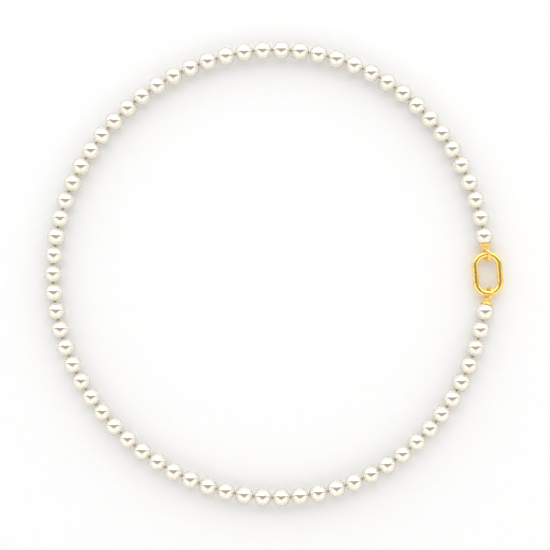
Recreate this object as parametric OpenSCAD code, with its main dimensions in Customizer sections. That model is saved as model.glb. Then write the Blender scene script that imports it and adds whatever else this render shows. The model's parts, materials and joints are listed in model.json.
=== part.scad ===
// Pearl necklace: one strand of round drilled pearls on a thread knotted after every pearl,
// a cap and a soldered ring at each end, and an oblong link whose sprung gate joins the rings.
// It lies flat, closed, with Z up from the surface, the link at +X and the centre pearl at -X.
// The half of the strand at +Y is the upper half, and the lower half mirrors it.

/* [Strand] */
// Pearls on each side of the centre pearl
pearls_per_side = 35; // [25:2:45]
// Diameter of a pearl
pearl_d = 6; // [4:0.5:10]
// Room for a knot between two pearls
knot_gap = 0.24; // [0.2:0.01:0.5]
// Diameter of the stringing thread
thread_d = 0.5; // [0.3:0.05:0.6]
// Space all round between the thread and a pearl's bore
drill_play = 0.15; // [0.1:0.05:0.25]
// How much a knot is wider than the bore
knot_over = 0.15; // [0.1:0.05:0.3]

/* [Lay] */
// How much wider than deep the strand lies, as a share of its radius
oval = -0.0153; // [-0.03:0.0001:0.01]
// How much the strand is drawn out at the centre pearl, as a share of its radius
egg = -0.0077; // [-0.012:0.0001:0.01]
// How far the link's centre lies outside the last knots
link_out = 1.8; // [1:0.1:2.2]
// How far the link is turned on the surface
link_turn = 4; // [0:0.5:5]

/* [Link] */
// Width of the link
link_w = 10.3; // [9:0.1:13]
// Length of the link
link_l = 15.3; // [14:0.1:20]
// Thickness of the link's round bar
bar_d = 2.2; // [1.8:0.05:2.7]
// Length of the gate, from its pin to its free end
gate_l = 6.6; // [5.5:0.1:8]
// Diameter of the gate's pin
pin_d = 0.5; // [0.4:0.05:0.6]
// Seam between the gate and the link
seam = 0.12; // [0.12:0.01:0.2]

/* [Ends] */
// Space all round between the link's bar and a ring
ring_play = 0.45; // [0.45:0.01:0.6]
// Thickness of a ring's wire
ring_wire = 0.9; // [0.7:0.05:1.1]
// How far each ring leans over about the strand
ring_lean = 24; // [15:1:24]
// Width of a cap's rim, as a share of the pearl
cap_share = 0.71; // [0.6:0.01:0.78]
// Width of a cap where its ring is soldered on
neck_d = 1.9; // [1.6:0.1:2.4]
// Height of a cap above the pearl's drilled end
cap_h = 0.95; // [0.85:0.05:1.5]

/* [Hidden] */
$fn = 96;
pearl_r = pearl_d / 2;
pitch = pearl_d + knot_gap;
pairs = (pearls_per_side - 1) / 2;
bore_d = thread_d + 2 * drill_play;
knot_d = bore_d + knot_over;
knot_h = knot_gap - 0.04;
knot_bevel = 0.08;

// link
bar_r = bar_d / 2;
bend_r = (link_w - bar_d) / 2;
straight = link_l - link_w;
ring_at = (link_l - bar_d) / 2;

// rings and caps
ring_mid = bar_r + ring_play + ring_wire / 2;
table_gap = 0.06;
ring_z = ring_mid * cos(ring_lean) + ring_wire / 2 + table_gap;
solder = 0.01;
ring_seat = 0.25;
ring_reach = pearl_r + cap_h + ring_seat + ring_mid;
seat_gap = 0.03;
rim_r = cap_share * pearl_r;
cap_wall = 0.2;
rim_z = sqrt(pow(pearl_r + seat_gap, 2) - pow(rim_r - cap_wall, 2));
rim_bead = 0.14;
cap_hollow_h = 0.75;
// room round the end knot at the hollow's mouth, and how far the hollow draws in over its top
hollow_room = 0.39;
hollow_taper = 0.1;
end_knot_r = bore_d / 2 + 0.02;
end_knot_h = 0.6;
end_knot_at = pearl_r + 0.15;

// plan of the last stretch, from the last knot to the ring's centre
ring_run = sqrt(ring_reach * ring_reach - pow(pearl_r - ring_z, 2));
end_run = pitch / 2 + ring_run;
out_upper = link_out - ring_at * sin(link_turn);
out_lower = link_out + ring_at * sin(link_turn);
rise_upper = sqrt(end_run * end_run - out_upper * out_upper);
rise_lower = sqrt(end_run * end_run - out_lower * out_lower);
last_y = ring_at * cos(link_turn) + (rise_upper + rise_lower) / 2;
link_y = (rise_lower - rise_upper) / 2;

// knots on the plan curve: each is one pitch from the last, and the curve's radius is the one
// that brings the last knot of each half to its place beside the link
knot_steps = pearls_per_side - 1;
function curve(t, r) = r * (1 + oval * cos(2 * t) + egg * cos(3 * t)) * [cos(t), sin(t)];
function first_turn(r, t = 178, n = 6) =
    n == 0 ? t : first_turn(r, 180 - asin(pitch / 2 / norm(curve(t, r))), n - 1);
function stride(t, r, s, n = 4) =
    n == 0 ? s : stride(t, r, s * pitch / norm(curve(t - s, r) - curve(t, r)), n - 1);
function walk(t, r, n) = n == 0 ? t : walk(t - stride(t, r, 5), r, n - 1);
function last_gap(r) = curve(walk(first_turn(r), r, knot_steps), r).y - last_y;
function solved(low, high, n = 40) =
    n == 0 ? (low + high) / 2
    : let (mid = (low + high) / 2)
      last_gap(mid) > 0 ? solved(low, mid, n - 1) : solved(mid, high, n - 1);
around = 2 * pitch * (pearls_per_side + 1) / (2 * PI);
radius = solved(0.9 * around, 1.3 * around);
function knot_turns(t, n) =
    n == 0 ? [t] : concat([t], knot_turns(t - stride(t, radius, 5), n - 1));
raw = [for (t = knot_turns(first_turn(radius), knot_steps)) curve(t, radius)];

// the box round the whole necklace is centred on the origin
link_x0 = raw[knot_steps].x + link_out;
box_left = raw[0].x - pearl_r;
box_right = link_x0 + link_w / 2 + straight / 2 * sin(link_turn);
shift = -(box_left + box_right) / 2;
knots = [for (p = raw) [p.x + shift, p.y]];
link_x = link_x0 + shift;

function flip(p, side) = [p.x, side * p.y];
function knot(i, side) = flip(knots[i], side);
function heading(from, to) = atan2(to.y - from.y, to.x - from.x);
function end_out(side) = side > 0 ? out_upper : out_lower;
function end_rise(side) = side > 0 ? rise_upper : rise_lower;
function end_heading(side) = atan2(-side * end_rise(side), end_out(side));
function pearl_heading(i, side) =
    i == pearls_per_side ? end_heading(side) : heading(knot(i - 1, side), knot(i, side));
function pearl_at(i, side) =
    knot(i - 1, side) + pitch / 2 * [cos(pearl_heading(i, side)), sin(pearl_heading(i, side))];
cap_dip = asin((pearl_r - ring_z) / ring_reach);
// how far the end knot lies off the axis of its dipped cap
end_knot_off = end_knot_at * sin(cap_dip);

// gate and hinge, in the link's own plane
function bar_x(y) =
    abs(y) <= straight / 2 ? bend_r : sqrt(pow(bend_r, 2) - pow(abs(y) - straight / 2, 2));
pin_y = -gate_l / 2;
pin_x = -bar_x(pin_y);
knuckle_r = bar_r;
tongue_r = 0.7 * bar_r;
tongue_t = 0.8;
slot_t = tongue_t + 0.1;
slot_play = 0.1;
lap = 0.7;
lap_x = -bar_x(gate_l / 2) - 0.1;
lap_gap = 0.05;
pin_seat = 0.01;
pin_run = 0.03;
spring_reach = 2.2;
spring_t = 0.14;
pocket_w = 0.5;
pin_bend = pin_y < -straight / 2 ? asin((-pin_y - straight / 2) / bend_r) : 0;
spring_lean = pin_bend + spring_reach / 2 / bend_r * 180 / PI;

function two_digits(i) = str(i < 10 ? "0" : "", i);
function half_name(side) = side > 0 ? "upper" : "lower";
function pair_name(i, side) = str("pearls_", half_name(side), "_", two_digits(i));
pair_names = [for (side = [1, -1]) for (i = [1 : pairs]) pair_name(i, side)];

// children's Z runs along a heading on the plan, dipping towards the surface
module along(p, turn, dip = 0) {
    translate([p.x, p.y, pearl_r])
        rotate([0, 90 + dip, turn])
            children();
}

// a round pearl drilled through along Z
module drilled_pearl() {
    color([0.95, 0.91, 0.85])
        rotate_extrude()
            intersection() {
                circle(d = pearl_d);
                translate([bore_d / 2, -pearl_r])
                    square([pearl_r, pearl_d]);
            }
}

module pearl(i, side) {
    along(pearl_at(i, side), pearl_heading(i, side))
        drilled_pearl();
}

// the middle pearl of the strand and its two neighbours
module pearls_centre() {
    along([knots[0].x, 0], 90)
        drilled_pearl();
    for (side = [1, -1])
        pearl(1, side);
}

module pearl_pair(i, side) {
    pearl(2 * i, side);
    pearl(2 * i + 1, side);
}

// an overhand knot drawn tight between two pearls
module tight_knot() {
    rotate_extrude()
        polygon([
            [0, -knot_h / 2],
            [knot_d / 2 - knot_bevel, -knot_h / 2],
            [knot_d / 2, 0],
            [knot_d / 2 - knot_bevel, knot_h / 2],
            [0, knot_h / 2]
        ]);
}

// the larger knot at each end of the thread, drawn into the mouth of the last pearl's bore
module end_knot() {
    rotate_extrude()
        polygon([
            [0, -end_knot_h / 2],
            [0.6 * end_knot_r, -end_knot_h / 2],
            [end_knot_r, -end_knot_h / 6],
            [end_knot_r, end_knot_h / 6],
            [0.6 * end_knot_r, end_knot_h / 2],
            [0, end_knot_h / 2]
        ]);
}

// thread from inside one knot to inside the next
module thread_span(p, turn, length) {
    along(p, turn)
        translate([0, 0, knot_h / 4])
            cylinder(d = thread_d, h = length);
}

// the whole thread, through every bore, with its knots
module thread() {
    color([0.78, 0.66, 0.5]) {
        thread_span(knot(0, -1), 90, pitch - knot_h / 2);
        for (side = [1, -1]) {
            for (i = [1 : knot_steps])
                thread_span(knot(i - 1, side), pearl_heading(i, side), pitch - knot_h / 2);
            for (i = [0 : knot_steps])
                along(knot(i, side), pearl_heading(i + 1, side))
                    tight_knot();
            thread_span(knot(knot_steps, side), end_heading(side), pitch / 2 + end_knot_at);
            along(pearl_at(pearls_per_side, side), end_heading(side))
                translate([0, 0, end_knot_at])
                    end_knot();
        }
    }
}

module end_frame(side) {
    along(pearl_at(pearls_per_side, side), end_heading(side), cap_dip)
        children();
}

module ring_hoop(grow = 0) {
    rotate([90, 0, 0])
        rotate_extrude()
            translate([ring_mid, 0])
                circle(d = ring_wire + 2 * grow);
}

module ring_place(side) {
    translate([0, 0, ring_reach])
        rotate([0, 0, -side * ring_lean])
            children();
}

// a bell cap over the last pearl, hollow for the thread's end knot
module end_cap(side) {
    neck_z = ring_reach - ring_mid;
    hollow_z = pearl_r - 0.15;
    color([0.92, 0.72, 0.3])
        end_frame(side)
            difference() {
                union() {
                    rotate_extrude()
                        polygon([
                            [0, rim_z],
                            [rim_r, rim_z],
                            [rim_r, rim_z + rim_bead],
                            [neck_d / 2, pearl_r + cap_h - 0.1],
                            [neck_d / 2, neck_z],
                            [0, neck_z]
                        ]);
                    translate([0, 0, rim_z + rim_bead])
                        rotate_extrude()
                            translate([rim_r - rim_bead / 2, 0])
                                circle(r = rim_bead);
                }
                sphere(r = pearl_r + seat_gap);
                translate([0, 0, hollow_z])
                    cylinder(
                        r1 = end_knot_r + end_knot_off + hollow_room,
                        r2 = end_knot_r + end_knot_off - hollow_taper,
                        h = cap_hollow_h
                    );
                ring_place(side)
                    ring_hoop(solder);
            }
}

module end_ring(side) {
    color([0.95, 0.76, 0.35])
        end_frame(side)
            ring_place(side)
                ring_hoop();
}

module link_place() {
    translate([link_x, link_y, ring_z])
        rotate([0, 0, link_turn])
            children();
}

// the round bar of the whole link, gate and all
module link_bar() {
    for (side = [1, -1])
        translate([side * bend_r, 0, 0])
            rotate([90, 0, 0])
                cylinder(d = bar_d, h = straight, center = true);
    for (turn = [0, 180])
        rotate([0, 0, turn])
            translate([0, straight / 2, 0])
                rotate_extrude(angle = 180)
                    translate([bend_r, 0])
                        circle(d = bar_d);
}

// plan of the gate about its pin: arcs that stay clear as it swings, and a lapped free end
module gate_plan(grow, lap_grow, knuckle) {
    intersection() {
        difference() {
            translate([pin_x, pin_y])
                union() {
                    circle(r = gate_l + grow);
                    intersection() {
                        circle(r = gate_l + lap + grow);
                        translate([lap_x - lap_grow - pin_x, 0])
                            square([gate_l, 2 * gate_l]);
                    }
                }
            translate([pin_x, pin_y])
                circle(r = knuckle);
        }
        translate([-link_w, pin_y])
            square([link_w, 2 * gate_l]);
    }
}

module gate_cut(grow, lap_grow, knuckle) {
    linear_extrude(height = 2 * bar_d, center = true)
        gate_plan(grow, lap_grow, knuckle);
}

module pin_place() {
    translate([pin_x, pin_y, 0])
        children();
}

// the slot between the two cheeks that hold the pin, and the pocket below it for the spring
module hinge_slot() {
    pin_place() {
        cylinder(r = tongue_r + slot_play, h = slot_t, center = true);
        translate([-bar_d, -0.2, -slot_t / 2])
            cube([2 * bar_d, 2 * bar_d, slot_t]);
        rotate([0, 0, spring_lean])
            translate([-pocket_w / 2, -tongue_r - spring_reach + 0.3, -slot_t / 2])
                cube([pocket_w, spring_reach, slot_t]);
    }
}

module link_frame() {
    color([0.95, 0.76, 0.35])
        link_place()
            difference() {
                link_bar();
                gate_cut(seam, lap_gap, knuckle_r);
                hinge_slot();
                pin_place()
                    cylinder(d = pin_d + 2 * pin_seat, h = 2 * bar_d, center = true);
            }
}

module link_gate() {
    color([0.95, 0.76, 0.35])
        link_place()
            difference() {
                union() {
                    intersection() {
                        link_bar();
                        gate_cut(0, 0, knuckle_r + seam);
                    }
                    pin_place()
                        cylinder(r = tongue_r, h = tongue_t, center = true);
                    pin_place()
                        translate([-tongue_r, 0, -tongue_t / 2])
                            cube([2 * tongue_r, knuckle_r + seam + 0.4, tongue_t]);
                }
                pin_place()
                    cylinder(d = pin_d + 2 * pin_run, h = 2 * bar_d, center = true);
            }
}

module gate_pin() {
    color([0.85, 0.66, 0.28])
        link_place()
            pin_place()
                cylinder(d = pin_d, h = 2 * sqrt(bar_r * bar_r - pin_d * pin_d / 4) - 0.06, center = true);
}

// a flat leaf that bears on the heel of the gate
module gate_spring() {
    color([0.7, 0.7, 0.68])
        link_place()
            pin_place()
                rotate([0, 0, spring_lean])
                    translate([-spring_t / 2, -tongue_r - spring_reach + 0.32, -tongue_t / 2])
                        cube([spring_t, spring_reach - 0.34, tongue_t]);
}

thread();
pearls_centre();
for (side = [1, -1])
    for (i = [1 : pairs])
        pearl_pair(i, side);
end_cap(1);  // end_cap_upper
end_cap(-1);  // end_cap_lower
end_ring(1);  // end_ring_upper
end_ring(-1);  // end_ring_lower
link_frame();
link_gate();
gate_pin();
gate_spring();
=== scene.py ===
import json
import math

import bmesh
import bpy
import numpy as np
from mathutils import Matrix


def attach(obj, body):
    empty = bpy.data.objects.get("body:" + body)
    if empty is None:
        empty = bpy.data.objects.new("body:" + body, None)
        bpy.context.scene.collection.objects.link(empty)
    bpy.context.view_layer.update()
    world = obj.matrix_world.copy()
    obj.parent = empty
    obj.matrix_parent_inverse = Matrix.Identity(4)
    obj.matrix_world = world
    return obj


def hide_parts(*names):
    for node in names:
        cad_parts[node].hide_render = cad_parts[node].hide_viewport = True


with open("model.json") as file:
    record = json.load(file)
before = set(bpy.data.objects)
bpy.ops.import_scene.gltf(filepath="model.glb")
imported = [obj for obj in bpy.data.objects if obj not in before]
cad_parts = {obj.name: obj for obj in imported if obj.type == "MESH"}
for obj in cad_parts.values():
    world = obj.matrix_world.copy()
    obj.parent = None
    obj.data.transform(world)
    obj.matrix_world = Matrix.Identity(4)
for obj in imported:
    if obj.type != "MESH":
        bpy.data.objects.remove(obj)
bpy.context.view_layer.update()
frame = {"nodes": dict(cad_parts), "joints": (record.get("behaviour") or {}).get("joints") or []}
rng = np.random.default_rng(71)

MM = 0.001

# sizes of the CAD part, in millimetres
PEARL_R = 3.0
PITCH = 6.24
PAIRS = 17
BORE_R = 0.4
THREAD_R = 0.25
BAR_R = 1.1
BEND_R = 4.05
STRAIGHT = 5.0
GATE_L = 6.6
SEAM = 0.12
LAP = 0.7
LAP_GAP = 0.05
TONGUE_R = 0.77
TONGUE_T = 0.8
SLOT_T = 0.9
SLOT_PLAY = 0.1
PIN_R = 0.25
RING_MID = 2.0
WIRE_R = 0.45
RING_LEAN = math.radians(24)
RING_REACH = 6.2
CAP_H = 0.95
RIM_R = 2.13
NECK_R = 0.95

joints = {j["name"]: j for j in frame["joints"]}


def millimetres(point):
    return np.array(point, float) / MM


# ---------------------------------------------------------------- places on the strand

def hinge_knot(side, i):
    name = "strand_flex" if (side, i) == ("upper", 1) else f"flex_{side}_{i:02d}"
    return millimetres(joints[name]["pos_m"])


link_centre = millimetres(joints["link_roll"]["pos_m"])
link_axis = np.array(joints["link_roll"]["axis"], float)
ring_offset = STRAIGHT / 2 + BEND_R
LEVEL = PEARL_R


def apex(a, b, away_from):
    """The knot between two others, one pitch from each, on the side away from a point."""
    middle = (a + b) / 2
    across = np.array([-(b - a)[1], (b - a)[0], 0.0])
    across /= np.linalg.norm(across)
    if np.dot(across, middle - away_from) < 0:
        across = -across
    rise = math.sqrt(max(PITCH ** 2 - (np.linalg.norm(b - a) / 2) ** 2, 0.0))
    return middle + rise * across


def strand_half(side):
    """Knots 0 to 33 of one half and its ring centre; last_knot gives knot 34 afterwards."""
    sign = 1 if side == "upper" else -1
    centre = np.array([0.0, 0.0, LEVEL])
    hinges = [hinge_knot(side, i) for i in range(1, PAIRS + 1)]
    first = hinges[0]
    # knot 0 is half a pitch off the X axis, one pitch from knot 1
    y0 = sign * PITCH / 2
    x0 = first[0] - math.sqrt(PITCH ** 2 - (first[1] - y0) ** 2)
    knots = [np.array([x0, y0, LEVEL])]
    for i, h in enumerate(hinges):
        knots.append(h)
        if i + 1 < PAIRS:
            knots.append(apex(h, hinges[i + 1], centre))
    ring = link_centre + sign * ring_offset * link_axis
    return knots, ring


def last_knot(side, knots, ring):
    """The last knot: one pitch from the one before, as far from the ring's centre in plan as the end pearl
    and its cap take."""
    run = PITCH / 2 + math.sqrt(RING_REACH ** 2 - (LEVEL - ring[2]) ** 2)
    a = knots[-1][:2]
    b = ring[:2]
    d = np.linalg.norm(b - a)
    along = (b - a) / d
    x = (PITCH ** 2 - run ** 2 + d ** 2) / (2 * d)
    h = math.sqrt(max(PITCH ** 2 - x ** 2, 0.0))
    across = np.array([-along[1], along[0]])
    options = [a + x * along + s * h * across for s in (1, -1)]
    best = max(options, key=lambda p: np.linalg.norm(p))
    return np.array([best[0], best[1], LEVEL])


halves = {}
for side in ("upper", "lower"):
    knots, ring = strand_half(side)
    knots.append(last_knot(side, knots, ring))
    halves[side] = (knots, ring)


# ---------------------------------------------------------------- mesh helpers

def frame_towards(p, direction, up=(0, 0, 1)):
    """A placing matrix in metres: local Z along direction, local X as near up as it can be."""
    z = np.array(direction, float)
    z /= np.linalg.norm(z)
    x = np.array(up, float)
    x = x - np.dot(x, z) * z
    x /= np.linalg.norm(x)
    y = np.cross(z, x)
    m = np.eye(4)
    m[:3, 0], m[:3, 1], m[:3, 2], m[:3, 3] = x, y, z, p
    return m


def placed(verts, m):
    verts = np.asarray(verts, float)
    return verts @ m[:3, :3].T + m[:3, 3]


def revolved(profile, steps):
    """Vertices and quads of a closed profile of (radius, height) turned about Z."""
    profile = np.asarray(profile, float)
    turns = np.linspace(0, 2 * math.pi, steps, endpoint=False)
    c, s = np.cos(turns), np.sin(turns)
    verts = np.stack([
        profile[:, None, 0] * c, profile[:, None, 0] * s,
        np.repeat(profile[:, 1][:, None], steps, 1)], 2).reshape(-1, 3)
    n = len(profile)
    faces = []
    for i in range(n):
        j = (i + 1) % n
        for k in range(steps):
            l = (k + 1) % steps
            faces.append((i * steps + k, i * steps + l, j * steps + l, j * steps + k))
    return verts, faces


def swept(path, radius, around=24, closed=False, shape=None):
    """Vertices and faces of a tube along a path. shape(i, angle) scales the radius."""
    path = np.asarray(path, float)
    n = len(path)
    if closed:
        tangents = np.roll(path, -1, 0) - np.roll(path, 1, 0)
    else:
        tangents = np.gradient(path, axis=0)
    tangents /= np.linalg.norm(tangents, axis=1)[:, None]
    normal = np.cross(tangents[0], [0.31, 0.17, 0.94])
    normal /= np.linalg.norm(normal)
    verts = []
    angles = np.linspace(0, 2 * math.pi, around, endpoint=False)
    for i in range(n):
        normal = normal - np.dot(normal, tangents[i]) * tangents[i]
        normal /= np.linalg.norm(normal)
        side = np.cross(tangents[i], normal)
        for a in angles:
            r = radius * (shape(i, a) if shape else 1.0)
            verts.append(path[i] + r * (math.cos(a) * normal + math.sin(a) * side))
    faces = []
    for i in range(n if closed else n - 1):
        j = (i + 1) % n
        for k in range(around):
            l = (k + 1) % around
            faces.append((i * around + k, i * around + l, j * around + l, j * around + k))
    if not closed:
        faces.append(tuple(range(around - 1, -1, -1)))
        faces.append(tuple((n - 1) * around + k for k in range(around)))
    return np.array(verts), faces


class Pile:
    """Meshes gathered into one object, with a tint for each part."""

    def __init__(self):
        self.verts, self.faces, self.tints, self.count = [], [], [], 0

    def add(self, verts, faces, tint=0.5):
        self.verts.append(np.asarray(verts, float))
        self.faces += [tuple(i + self.count for i in f) for f in faces]
        self.tints += [tint] * len(verts)
        self.count += len(verts)

    def build(self, name, material, body):
        mesh = bpy.data.meshes.new(name)
        mesh.from_pydata((np.vstack(self.verts) * MM).tolist(), [], self.faces)
        mesh.update()
        tint = mesh.attributes.new("tint", "FLOAT", "POINT")
        tint.data.foreach_set("value", np.array(self.tints, np.float32))
        mesh.materials.append(material)
        obj = bpy.data.objects.new(name, mesh)
        bpy.context.scene.collection.objects.link(obj)
        bm = bmesh.new()
        bm.from_mesh(mesh)
        bmesh.ops.recalc_face_normals(bm, faces=bm.faces)
        bm.to_mesh(mesh)
        bm.free()
        mesh.polygons.foreach_set("use_smooth", [True] * len(mesh.polygons))
        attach(obj, body)
        return obj


# ---------------------------------------------------------------- materials

def new_material(name):
    material = bpy.data.materials.new(name)
    material.use_nodes = True
    tree = material.node_tree
    shader = tree.nodes["Principled BSDF"]
    return material, tree, shader


def node(tree, kind, **settings):
    made = tree.nodes.new(kind)
    for key, value in settings.items():
        if key in made.inputs:
            made.inputs[key].default_value = value
        else:
            setattr(made, key, value)
    return made


def nacre():
    material, tree, shader = new_material("nacre")
    link = tree.links.new
    tint = node(tree, "ShaderNodeAttribute", attribute_name="tint")
    coords = node(tree, "ShaderNodeTexCoord")
    cloud = node(tree, "ShaderNodeTexNoise", Scale=420.0, Detail=3.0, Roughness=0.55)
    link(coords.outputs["Object"], cloud.inputs["Vector"])
    # body colour: ivory that drifts a little between cream and rose from pearl to pearl
    ramp = node(tree, "ShaderNodeValToRGB")
    ramp.color_ramp.elements[0].color = (0.85, 0.815, 0.715, 1)
    ramp.color_ramp.elements[0].position = 0.0
    ramp.color_ramp.elements[1].color = (0.865, 0.825, 0.755, 1)
    ramp.color_ramp.elements[1].position = 1.0
    middle = ramp.color_ramp.elements.new(0.5)
    middle.color = (0.86, 0.83, 0.75, 1)
    shift = node(tree, "ShaderNodeMath", operation="MULTIPLY_ADD")
    shift.inputs[1].default_value = 0.3
    shift.inputs[2].default_value = -0.15
    link(cloud.outputs["Fac"], shift.inputs[0])
    total = node(tree, "ShaderNodeMath", operation="ADD")
    link(shift.outputs[0], total.inputs[0])
    link(tint.outputs["Fac"], total.inputs[1])
    link(total.outputs[0], ramp.inputs["Fac"])
    link(ramp.outputs["Color"], shader.inputs["Base Color"])
    # fine growth relief under the lustre
    grain = node(tree, "ShaderNodeTexNoise", Scale=2600.0, Detail=4.0, Roughness=0.6)
    link(coords.outputs["Object"], grain.inputs["Vector"])
    bump = node(tree, "ShaderNodeBump", Strength=0.012, Distance=0.00003)
    link(grain.outputs["Fac"], bump.inputs["Height"])
    link(bump.outputs["Normal"], shader.inputs["Normal"])
    rough = node(tree, "ShaderNodeMapRange")
    rough.inputs["To Min"].default_value = 0.14
    rough.inputs["To Max"].default_value = 0.18
    link(cloud.outputs["Fac"], rough.inputs["Value"])
    link(rough.outputs["Result"], shader.inputs["Roughness"])
    shader.inputs["Metallic"].default_value = 0.6
    shader.inputs["Specular Tint"].default_value = (0.62, 0.58, 0.50, 1)
    shader.inputs["IOR"].default_value = 1.6
    shader.inputs["Coat Weight"].default_value = 0.35
    shader.inputs["Coat Roughness"].default_value = 0.06
    shader.inputs["Coat IOR"].default_value = 1.6
    return material


def gold():
    material, tree, shader = new_material("gold")
    link = tree.links.new
    coords = node(tree, "ShaderNodeTexCoord")
    wear = node(tree, "ShaderNodeTexNoise", Scale=900.0, Detail=5.0, Roughness=0.6)
    link(coords.outputs["Object"], wear.inputs["Vector"])
    ramp = node(tree, "ShaderNodeValToRGB")
    ramp.color_ramp.elements[0].position = 0.3
    ramp.color_ramp.elements[0].color = (0.99, 0.69, 0.20, 1)
    ramp.color_ramp.elements[1].position = 0.7
    ramp.color_ramp.elements[1].color = (1.0, 0.75, 0.27, 1)
    link(wear.outputs["Fac"], ramp.inputs["Fac"])
    link(ramp.outputs["Color"], shader.inputs["Base Color"])
    rough = node(tree, "ShaderNodeMapRange")
    rough.inputs["To Min"].default_value = 0.22
    rough.inputs["To Max"].default_value = 0.29
    link(wear.outputs["Fac"], rough.inputs["Value"])
    link(rough.outputs["Result"], shader.inputs["Roughness"])
    hammer = node(tree, "ShaderNodeTexNoise", Scale=700.0, Detail=2.0)
    link(coords.outputs["Object"], hammer.inputs["Vector"])
    bump = node(tree, "ShaderNodeBump", Strength=0.05, Distance=0.00004)
    link(hammer.outputs["Fac"], bump.inputs["Height"])
    link(bump.outputs["Normal"], shader.inputs["Normal"])
    shader.inputs["Metallic"].default_value = 0.78
    return material


def silk():
    material, tree, shader = new_material("silk")
    link = tree.links.new
    coords = node(tree, "ShaderNodeTexCoord")
    fibre = node(tree, "ShaderNodeTexNoise", Scale=9000.0, Detail=3.0)
    link(coords.outputs["Object"], fibre.inputs["Vector"])
    ramp = node(tree, "ShaderNodeValToRGB")
    ramp.color_ramp.elements[0].color = (0.70, 0.55, 0.35, 1)
    ramp.color_ramp.elements[1].color = (0.88, 0.76, 0.56, 1)
    link(fibre.outputs["Fac"], ramp.inputs["Fac"])
    link(ramp.outputs["Color"], shader.inputs["Base Color"])
    bump = node(tree, "ShaderNodeBump", Strength=0.5, Distance=0.00003)
    link(fibre.outputs["Fac"], bump.inputs["Height"])
    link(bump.outputs["Normal"], shader.inputs["Normal"])
    shader.inputs["Roughness"].default_value = 0.6
    shader.inputs["Sheen Weight"].default_value = 0.4
    return material


def spring_steel():
    material, tree, shader = new_material("spring_steel")
    link = tree.links.new
    coords = node(tree, "ShaderNodeTexCoord")
    brushed = node(tree, "ShaderNodeTexNoise", Scale=4000.0, Detail=4.0)
    link(coords.outputs["Object"], brushed.inputs["Vector"])
    ramp = node(tree, "ShaderNodeValToRGB")
    ramp.color_ramp.elements[0].color = (0.38, 0.38, 0.37, 1)
    ramp.color_ramp.elements[1].color = (0.66, 0.66, 0.64, 1)
    link(brushed.outputs["Fac"], ramp.inputs["Fac"])
    link(ramp.outputs["Color"], shader.inputs["Base Color"])
    shader.inputs["Metallic"].default_value = 1.0
    shader.inputs["Roughness"].default_value = 0.3
    return material


NACRE = nacre()
GOLD = gold()
SILK = silk()
STEEL = spring_steel()


# ---------------------------------------------------------------- pearls

def pearl_profile():
    """Half a drilled pearl in section, round the outside and back through the bore, with softened edges."""
    edge = 0.07
    open_angle = math.asin((BORE_R + edge) / PEARL_R)
    arc = np.linspace(open_angle, math.pi - open_angle, 62)
    outside = [(PEARL_R * math.sin(a), PEARL_R * math.cos(a)) for a in arc]
    mouth = outside[0]
    soft = []
    for t in np.linspace(0, 1, 6)[1:]:
        soft.append((mouth[0] - edge * math.sin(t * math.pi / 2) * 1.0,
                     mouth[1] - edge * (1 - math.cos(t * math.pi / 2))))
    low = [(r, -z) for r, z in reversed(soft)]
    bore = [(BORE_R, z) for z in np.linspace(soft[-1][1], -soft[-1][1], 6)[1:-1]]
    return outside + low + [(r, z) for r, z in reversed(bore)] + list(reversed(soft))


PROFILE = pearl_profile()


def pearl_mesh(centre, direction):
    """A drilled pearl that is very slightly out of round, like a real one."""
    verts, faces = revolved(PROFILE, 96)
    outside = np.linalg.norm(verts, axis=1) > PEARL_R * 0.97
    along = 1 - 0.006 * rng.random()
    across = 1 - 0.010 * rng.random()
    turn = rng.random() * math.pi
    c, s = math.cos(turn), math.sin(turn)
    squeeze = 1 - 0.008 * rng.random()
    x = verts[:, 0] * c + verts[:, 1] * s
    y = -verts[:, 0] * s + verts[:, 1] * c
    x, y = x * across, y * squeeze
    oval = np.stack([x * c - y * s, x * s + y * c, verts[:, 2] * along], 1)
    dimple = 0.010 * np.sin(3 * verts[:, 2] / PEARL_R + rng.random() * 6)
    scale = 1 + np.where(outside, dimple / PEARL_R - 0.004, 0)
    oval = np.where(outside[:, None], oval, verts) * scale[:, None]
    m = frame_towards(centre, direction)
    return placed(oval, m), faces


def pearl_axis(side, i):
    """Centre and direction of pearl i of a half."""
    knots, ring = halves[side]
    if i <= 2 * PAIRS:
        a, b = knots[i - 1], knots[i]
    else:
        a = knots[-1]
        flat = np.array([ring[0] - a[0], ring[1] - a[1], 0.0])
        flat /= np.linalg.norm(flat)
        b = a + PITCH * flat
    direction = (b - a) / np.linalg.norm(b - a)
    return a + PITCH / 2 * direction, direction


def build_pearls(name, body, members, replaced):
    pile = Pile()
    for centre, direction in members:
        verts, faces = pearl_mesh(centre, direction)
        pile.add(verts, faces, float(rng.random()))
    obj = pile.build(name, NACRE, body)
    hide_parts(replaced)
    return obj


upper0, lower0 = halves["upper"][0][0], halves["lower"][0][0]
middle_centre = (upper0 + lower0) / 2
build_pearls("pearl_trio_centre", "strand_centre",
             [(middle_centre, np.array([0.0, 1.0, 0.0])), pearl_axis("upper", 1), pearl_axis("lower", 1)],
             "pearls_centre")
for side in ("upper", "lower"):
    for i in range(1, PAIRS + 1):
        build_pearls(f"pearl_pair_{side}_{i:02d}", f"strand_{side}_{i:02d}",
                     [pearl_axis(side, 2 * i), pearl_axis(side, 2 * i + 1)],
                     f"pearls_{side}_{i:02d}")


# ---------------------------------------------------------------- thread and knots

def ply_shape(step):
    def shape(i, angle):
        return 0.82 + 0.18 * abs(math.cos(1.5 * (angle + i * step)))
    return shape


def add_span(pile, a, b):
    steps = 40
    path = [a + (b - a) * t for t in np.linspace(0, 1, steps)]
    verts, faces = swept(path, THREAD_R, 18, shape=ply_shape(0.42))
    pile.add(verts, faces)


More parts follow.
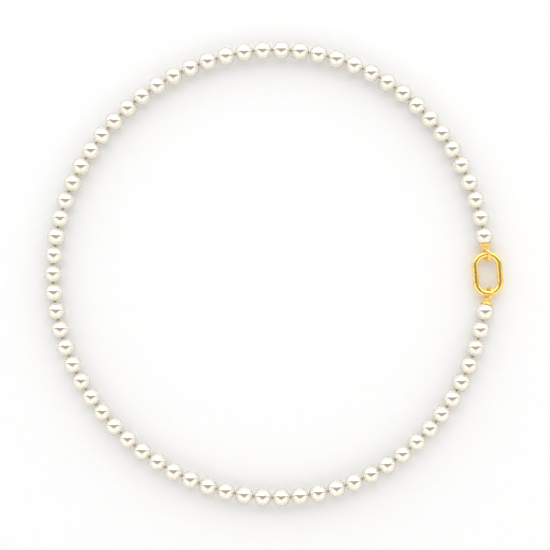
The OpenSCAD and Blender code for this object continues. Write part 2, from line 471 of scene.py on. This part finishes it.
def add_knot(pile, p, direction, size=1.0):
    """An overhand knot pulled tight: a trefoil of thread, flattened between the pearls."""
    t = np.linspace(0, 2 * math.pi, 90, endpoint=False)
    reach, lift, ply = 0.25 * size, 0.10 * size, 0.105 * size
    x = reach * (np.sin(t) + 1.1 * np.sin(2 * t)) * 0.62
    y = reach * (np.cos(t) - 1.1 * np.cos(2 * t)) * 0.62
    z = -lift * np.sin(3 * t) * 0.5
    verts, faces = swept(np.stack([x, y, z], 1), ply, 12, closed=True)
    turned = frame_towards(p, direction, (rng.normal(), rng.normal(), 1.5))
    pile.add(placed(verts, turned), faces)
    ring_t = np.linspace(0, 2 * math.pi, 48, endpoint=False)
    wrap = np.stack([0.34 * size * np.cos(ring_t), 0.34 * size * np.sin(ring_t),
                     0.03 * np.sin(2 * ring_t)], 1)
    verts, faces = swept(wrap, 0.10 * size, 12, closed=True)
    pile.add(placed(verts, turned), faces)


thread_pieces = []


def finish_thread(pile, name, body):
    obj = pile.build(name, SILK, body)
    thread_pieces.append(obj)
    return obj


pile = Pile()
add_span(pile, lower0, upper0)
for side in ("upper", "lower"):
    knots, ring = halves[side]
    add_span(pile, knots[0], knots[1])
    for i in (0, 1):
        add_knot(pile, knots[i], knots[i + 1] - knots[i])
finish_thread(pile, "thread_centre", "strand_centre")

for side in ("upper", "lower"):
    knots, ring = halves[side]
    for i in range(1, PAIRS + 1):
        pile = Pile()
        a, b = knots[2 * i - 1], knots[2 * i]
        add_span(pile, a, b)
        add_knot(pile, b, b - a)
        if i < PAIRS:
            c = knots[2 * i + 1]
            add_span(pile, b, c)
            add_knot(pile, c, c - b)
        else:
            centre, direction = pearl_axis(side, 2 * PAIRS + 1)
            end = centre + (PEARL_R + 0.15) * direction
            add_span(pile, b, end)
            add_knot(pile, end, direction, 0.85)
        finish_thread(pile, f"thread_{side}_{i:02d}", f"strand_{side}_{i:02d}")

for piece in thread_pieces:
    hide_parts("thread")


# ---------------------------------------------------------------- end caps and rings

def cap_profile():
    """Section of the bell cap: seat, rolled rim, flared wall, neck and the hollow for the knot."""
    seat_r = PEARL_R + 0.03
    rim_z = math.sqrt(seat_r ** 2 - (RIM_R - 0.2) ** 2)
    points = []
    rim_angle = math.asin((RIM_R - 0.2) / seat_r)
    hollow_r = 1.1
    hollow_angle = math.asin(hollow_r / seat_r)
    for a in np.linspace(hollow_angle, rim_angle, 12):
        points.append((seat_r * math.sin(a), seat_r * math.cos(a)))
    bead = 0.15
    centre = (RIM_R - 0.05, rim_z + 0.10)
    for a in np.linspace(-2.2, 0.9, 14):
        points.append((centre[0] + bead * math.cos(a), centre[1] + bead * math.sin(a)))
    for t in np.linspace(0.05, 1, 22):
        z = rim_z + 0.24 + t * (PEARL_R + CAP_H - 0.1 - rim_z - 0.24)
        ease = t - 0.16 * math.sin(math.pi * t)
        r = (RIM_R - 0.02) * (1 - ease) + NECK_R * ease
        points.append((r - 0.05 * math.sin(math.pi * t), z))
    top = RING_REACH - RING_MID - 0.06
    points.append((NECK_R, top - 0.12))
    for a in np.linspace(0.0, math.pi / 2, 6):
        points.append((NECK_R - 0.12 + 0.12 * math.cos(a), top - 0.12 + 0.12 * math.sin(a)))
    points.append((0.02, top))
    points.append((0.02, PEARL_R + 0.62))
    points.append((0.66, PEARL_R + 0.60))
    points.append((hollow_r, seat_r * math.cos(hollow_angle) + 0.02))
    return points


def end_direction(side):
    centre, flat = pearl_axis(side, 2 * PAIRS + 1)
    ring = halves[side][1]
    direction = ring - centre
    return centre, direction / np.linalg.norm(direction)


for side, sign in (("upper", 1), ("lower", -1)):
    body = f"strand_{side}_{PAIRS:02d}"
    centre, direction = end_direction(side)
    m = frame_towards(centre, direction)
    pile = Pile()
    verts, faces = revolved(cap_profile(), 96)
    pile.add(placed(verts, m), faces)
    lean = -sign * RING_LEAN
    cap = pile.build(f"end_cap_{side}_gold", GOLD, body)
    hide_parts(f"end_cap_{side}")

    pile = Pile()
    t = np.linspace(0, 2 * math.pi, 220, endpoint=False)
    # the ring stands in the plane of the cap's axis, leaning about it
    across = np.array([-math.cos(lean), -math.sin(lean), 0.0])
    middle = np.array([0, 0, RING_REACH])
    upright = np.array([0, 0, 1.0])
    ring_path = [middle + RING_MID * (math.cos(a) * upright + math.sin(a) * across) for a in t]
    verts, faces = swept(ring_path, WIRE_R, 40, closed=True)
    pile.add(placed(verts, m), faces)
    hoop = pile.build(f"end_ring_{side}_gold", GOLD, body)
    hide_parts(f"end_ring_{side}")


# ---------------------------------------------------------------- the link and its gate

LINK = frame_towards(link_centre, (0, 0, 1), up=np.cross(link_axis, (0, 0, 1)))
pin = joints["gate_hinge"]["pos_m"]
pin_local = (np.linalg.inv(LINK) @ np.append(millimetres(pin), 1))[:3]


def centreline(steps=360):
    """Closed centreline of the link in its own plane."""
    half = math.pi * BEND_R
    length = 2 * half + 2 * STRAIGHT
    points = []
    for s in np.linspace(0, length, steps, endpoint=False):
        if s < STRAIGHT:
            points.append((BEND_R, -STRAIGHT / 2 + s, 0))
        elif s < STRAIGHT + half:
            a = (s - STRAIGHT) / BEND_R
            points.append((BEND_R * math.cos(a), STRAIGHT / 2 + BEND_R * math.sin(a), 0))
        elif s < 2 * STRAIGHT + half:
            points.append((-BEND_R, STRAIGHT / 2 - (s - STRAIGHT - half), 0))
        else:
            a = math.pi + (s - 2 * STRAIGHT - half) / BEND_R
            points.append((BEND_R * math.cos(a), -STRAIGHT / 2 + BEND_R * math.sin(a), 0))
    return np.array(points)


def nearest_on_centreline(p):
    """The centreline point nearest each point, exactly."""
    x, y = p[:, 0], p[:, 1]
    over = np.clip(np.abs(y) - STRAIGHT / 2, 0, None) * np.sign(y)
    base = np.stack([np.zeros(len(p)), y - over], 1)
    straight = over == 0
    near = np.zeros((len(p), 3))
    near[straight, 0] = BEND_R * np.sign(x[straight])
    near[straight, 1] = y[straight]
    bent = ~straight
    away = np.stack([x[bent], over[bent]], 1)
    away /= np.maximum(np.linalg.norm(away, axis=1), 1e-9)[:, None]
    near[bent, 0] = BEND_R * away[:, 0]
    near[bent, 1] = base[bent, 1] + BEND_R * away[:, 1]
    return near


def raw_object(name, verts, faces):
    mesh = bpy.data.meshes.new(name)
    mesh.from_pydata([tuple(v) for v in verts], [], faces)
    mesh.update()
    bm = bmesh.new()
    bm.from_mesh(mesh)
    bmesh.ops.recalc_face_normals(bm, faces=bm.faces)
    bm.to_mesh(mesh)
    bm.free()
    obj = bpy.data.objects.new(name, mesh)
    bpy.context.scene.collection.objects.link(obj)
    return obj


def prism(outline, low, high):
    """A straight prism from a plan outline, as an object in millimetres."""
    n = len(outline)
    verts = [(x, y, low) for x, y in outline] + [(x, y, high) for x, y in outline]
    faces = [tuple(range(n - 1, -1, -1)), tuple(range(n, 2 * n))]
    faces += [(i, (i + 1) % n, n + (i + 1) % n, n + i) for i in range(n)]
    return raw_object("prism", verts, faces)


def disc(x, y, r, low, high, steps=96):
    turns = np.linspace(0, 2 * math.pi, steps, endpoint=False)
    return prism([(x + r * math.cos(a), y + r * math.sin(a)) for a in turns], low, high)


def combined(base, others, operation):
    """base cut by, joined with or limited to each other object, which is used up."""
    for other in others:
        modifier = base.modifiers.new("cut", "BOOLEAN")
        modifier.object = other
        modifier.operation = operation
        modifier.solver = "EXACT"
        bpy.context.view_layer.update()
        done = bpy.data.meshes.new_from_object(base.evaluated_get(bpy.context.evaluated_depsgraph_get()))
        base.modifiers.clear()
        old = base.data
        base.data = done
        bpy.data.meshes.remove(old)
        bpy.data.objects.remove(other)
    return base


def gate_outline(grow, lap_grow, knuckle):
    """Plan of the gate: arcs about its pin, and a lapped free end."""
    px, py = pin_local[0], pin_local[1]
    lap_x = -math.sqrt(BEND_R ** 2 - (GATE_L / 2 - STRAIGHT / 2) ** 2) - 0.1 - lap_grow
    far, short = GATE_L + LAP + grow, GATE_L + grow
    right = px + 3.0
    points = []
    a_right = math.acos((right - px) / far)
    a_lap_far = math.acos((lap_x - px) / far)
    a_lap_short = math.acos((lap_x - px) / short)
    for a in np.linspace(a_right, a_lap_far, 24):
        points.append((px + far * math.cos(a), py + far * math.sin(a)))
    for a in np.linspace(a_lap_short, math.acos(-3.0 / short), 24):
        points.append((px + short * math.cos(a), py + short * math.sin(a)))
    points.append((px - 3.0, py))
    for a in np.linspace(math.pi, 0, 48):
        points.append((px + knuckle * math.cos(a), py + knuckle * math.sin(a)))
    points.append((px + 3.0, py))
    return list(reversed(points))


def bar_object():
    verts, faces = swept(centreline(420), BAR_R, 72, closed=True)
    return raw_object("bar", verts, faces)


def polished(obj, name, material, body, m, replaced):
    """Places a cut bar in the frame, with true round normals on its bar and flat ones on its cuts."""
    mesh = obj.data
    local = np.array([v.co for v in mesh.vertices])
    near = nearest_on_centreline(local)
    gap = np.linalg.norm(local - near, axis=1)
    on_bar = np.abs(gap - BAR_R) < 0.012
    away = (local - near) / np.maximum(gap, 1e-9)[:, None]
    turn = m[:3, :3]
    normals = np.zeros((len(mesh.loops), 3))
    loop_vertex = np.array([l.vertex_index for l in mesh.loops])
    for polygon in mesh.polygons:
        corners = list(polygon.loop_indices)
        ids = loop_vertex[corners]
        flat = np.array(polygon.normal)
        middle = local[ids].mean(0)
        middle_gap = np.linalg.norm(middle - nearest_on_centreline(middle[None])[0])
        outward = np.dot(flat, away[ids].mean(0)) > 0.8
        round_face = on_bar[ids].all() and abs(middle_gap - BAR_R) < 0.04 and outward
        for corner, vertex in zip(corners, ids):
            n = away[vertex] if round_face else flat
            normals[corner] = turn @ n
    world = placed(local, m) * MM
    mesh.vertices.foreach_set("co", world.astype(np.float32).ravel())
    mesh.polygons.foreach_set("use_smooth", [True] * len(mesh.polygons))
    mesh.update()
    mesh.normals_split_custom_set(normals.tolist())
    mesh.materials.clear()
    mesh.materials.append(material)
    obj.name = name
    mesh.name = name
    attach(obj, body)
    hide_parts(*replaced)
    return obj


px, py = pin_local[0], pin_local[1]
TALL = 3.0

# the frame of the link, with the gap for the gate, the hinge's slot and the pin's hole
link_frame = bar_object()
slot_box = prism([(px - 2.2, py - 0.2), (px + 2.2, py - 0.2), (px + 2.2, py + 2.2), (px - 2.2, py + 2.2)],
                 -SLOT_T / 2, SLOT_T / 2)
combined(link_frame, [
    prism(gate_outline(SEAM, LAP_GAP, BAR_R), -TALL, TALL),
    disc(px, py, TONGUE_R + SLOT_PLAY, -SLOT_T / 2, SLOT_T / 2),
    slot_box,
    disc(px, py, PIN_R + 0.01, -TALL, TALL, 48),
], "DIFFERENCE")
polished(link_frame, "link_frame_gold", GOLD, "link", LINK, ["link_frame"])

# the gate, with its tongue in the slot
link_gate = bar_object()
combined(link_gate, [prism(gate_outline(0, 0, BAR_R + SEAM), -TALL, TALL)], "INTERSECT")
combined(link_gate, [
    disc(px, py, TONGUE_R, -TONGUE_T / 2, TONGUE_T / 2),
    prism([(px - TONGUE_R, py), (px + TONGUE_R, py), (px + TONGUE_R, py + BAR_R + SEAM + 0.4),
           (px - TONGUE_R, py + BAR_R + SEAM + 0.4)], -TONGUE_T / 2, TONGUE_T / 2),
], "UNION")
combined(link_gate, [disc(px, py, PIN_R + 0.03, -TALL, TALL, 48)], "DIFFERENCE")
polished(link_gate, "link_gate_gold", GOLD, "gate", LINK, ["link_gate"])

# the pin, its ends peened into low domes
pin_half = math.sqrt(BAR_R ** 2 - PIN_R ** 2) - 0.03
dome = [(0.0005, pin_half + 0.05)]
dome += [(PIN_R * math.sin(a), pin_half + 0.05 * math.cos(a)) for a in np.linspace(0.2, math.pi / 2, 8)]
pin_profile = dome + [(r, -z) for r, z in reversed(dome)]
verts, faces = revolved(pin_profile, 48)
faces = [f for f in faces if not (min(f) < 48 and max(f) >= 48 * (len(pin_profile) - 1))]
faces.append(tuple(range(48)))
faces.append(tuple(range(48 * (len(pin_profile) - 1), 48 * len(pin_profile))))
pile = Pile()
pile.add(placed(placed(verts, frame_towards((px, py, 0), (0, 0, 1), (1, 0, 0))), LINK), faces)
pin_piece = pile.build("gate_pin_gold", GOLD, "link")
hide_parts("gate_pin")

spring = frame["nodes"]["gate_spring"]
spring.data.materials.clear()
spring.data.materials.append(STEEL)


# ---------------------------------------------------------------- floor, light and camera

FLOOR_SIZE = 12.0


def stage_material():
    material, tree, shader = new_material("pale_table")
    link = tree.links.new
    coords = node(tree, "ShaderNodeTexCoord")
    grain = node(tree, "ShaderNodeTexNoise", Scale=300.0, Detail=4.0)
    link(coords.outputs["Object"], grain.inputs["Vector"])
    ramp = node(tree, "ShaderNodeValToRGB")
    ramp.color_ramp.elements[0].color = (0.91, 0.92, 0.94, 1)
    ramp.color_ramp.elements[1].color = (0.93, 0.94, 0.955, 1)
    link(grain.outputs["Fac"], ramp.inputs["Fac"])
    link(ramp.outputs["Color"], shader.inputs["Base Color"])
    shader.inputs["Roughness"].default_value = 0.75
    return material


bpy.ops.mesh.primitive_plane_add(size=FLOOR_SIZE, location=(0, 0, 0))
floor = bpy.context.active_object
floor.name = "table"
floor.data.materials.append(stage_material())


CEILING = 1.2
FAR = 15.0


def light_panel(name, corners, strength, colour):
    """A glowing panel under the ceiling, its plan corners given as shares of the ceiling's height."""
    mesh = bpy.data.meshes.new(name)
    verts = [(x * CEILING, y * CEILING, CEILING) for x, y in corners]
    mesh.from_pydata(verts, [], [tuple(range(len(verts)))])
    mesh.update()
    material = bpy.data.materials.new(name)
    material.use_nodes = True
    tree = material.node_tree
    tree.nodes.clear()
    glow = node(tree, "ShaderNodeEmission", Color=(*colour, 1), Strength=strength)
    output = node(tree, "ShaderNodeOutputMaterial")
    tree.links.new(glow.outputs["Emission"], output.inputs["Surface"])
    mesh.materials.append(material)
    panel = bpy.data.objects.new(name, mesh)
    bpy.context.scene.collection.objects.link(panel)
    panel.visible_camera = False
    return panel


light_panel("panel_back",
            [(-FAR, 0.95), (-1.92, 0.68), (0, 0.32), (1.92, 0.68), (FAR, 0.95), (FAR, FAR), (-FAR, FAR)],
            1.85, (1.0, 0.998, 0.995))
light_panel("panel_front_left", [(-0.03, -0.52), (-1.38, 0.22), (-FAR, 0.24), (-FAR, -FAR), (-0.03, -FAR)],
            1.32, (1.0, 0.98, 0.95))
light_panel("panel_front_right", [(0.03, -0.52), (1.38, 0.22), (FAR, 0.24), (FAR, -FAR), (0.03, -FAR)],
            1.32, (1.0, 0.975, 0.94))

world = bpy.data.worlds.new("studio")
world.use_nodes = True
world.node_tree.nodes["Background"].inputs["Color"].default_value = (0.52, 0.44, 0.36, 1)
world.node_tree.nodes["Background"].inputs["Strength"].default_value = 0.22
bpy.context.scene.world = world
bpy.context.scene.view_settings.view_transform = "Standard"

camera_data = bpy.data.cameras.new("camera")
camera_data.sensor_width = 36.0
camera_data.lens = 120.0
camera = bpy.data.objects.new("camera", camera_data)
bpy.context.scene.collection.objects.link(camera)
camera.location = (0.00037, -0.00043, 0.6143)
camera.rotation_euler = (0, 0, 0)
bpy.context.scene.camera = camera
